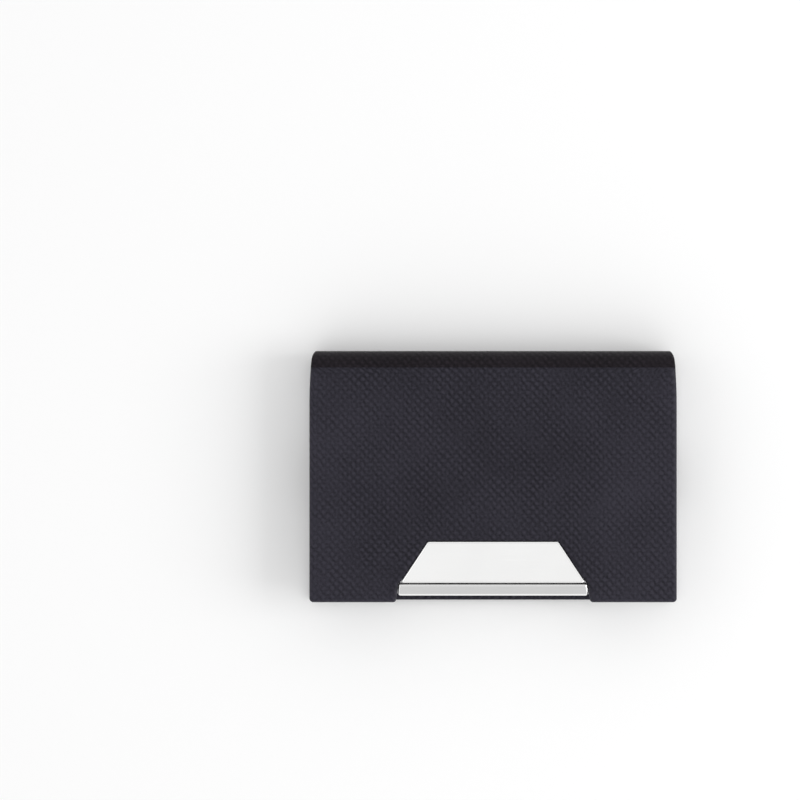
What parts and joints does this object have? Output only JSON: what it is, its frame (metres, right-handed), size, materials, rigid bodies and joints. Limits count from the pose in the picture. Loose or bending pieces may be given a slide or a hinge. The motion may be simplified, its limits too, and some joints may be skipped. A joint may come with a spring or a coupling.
{
  "type": "flip-open card wallet",
  "caption": "Slim rigid card wallet: two hinged steel trays in a dark leatherette cover, held shut by magnets behind a steel thumb plate.",
  "frame": {"origin": "centre of the bounding box's bottom face, on the back cover the case lies on", "axes": "+X along the spine (the longest side), +Y from the opening edge towards the spine, +Z from the back cover to the front cover (the thickness); the thumb plate is on the +Z side near -Y"},
  "size_m": [0.095, 0.065, 0.015],
  "materials": {
    "cover_leatherette": "dark charcoal, fine cross-hatch emboss, matt",
    "spine_leatherette": "dark charcoal, fine cross-hatch emboss, matt, thinned to bend",
    "polished_steel": "polished stainless steel",
    "brushed_steel": "fine brushed stainless steel",
    "hinge_steel": "bright rolled steel",
    "board": "grey pulp board, hidden inside the cover",
    "bonding_sheet": "thin double-sided bonding sheet, hidden",
    "felt": "short black felt",
    "magnet_plating": "nickel plated magnet, hidden"
  },
  "bodies": {
    "base": {"back_skin": "cover_leatherette", "back_board": "board", "back_bonding_sheet": "bonding_sheet", "spine_skin": "spine_leatherette", "base_tray": "brushed_steel", "base_liner": "felt", "base_hinge_leaf": "hinge_steel", "hinge_pin": "hinge_steel", "latch_housing": "polished_steel", "latch_magnet_left": "magnet_plating", "latch_magnet_right": "magnet_plating"},
    "lid": {"front_skin": "cover_leatherette", "front_board": "board", "front_bonding_sheet": "bonding_sheet", "lid_tray": "brushed_steel", "lid_liner": "felt", "lid_hinge_leaf": "hinge_steel", "thumb_plate": "polished_steel", "lid_magnet_left": "magnet_plating", "lid_magnet_right": "magnet_plating"}
  },
  "joints": [
    {"name": "lid_hinge", "type": "hinge", "parent": "base", "child": "lid", "pos_m": [0, 0.0307, 0.0075], "axis": [-1, 0, 0], "range_deg": [0, 170], "deforming": ["spine_skin"]}
  ]
}
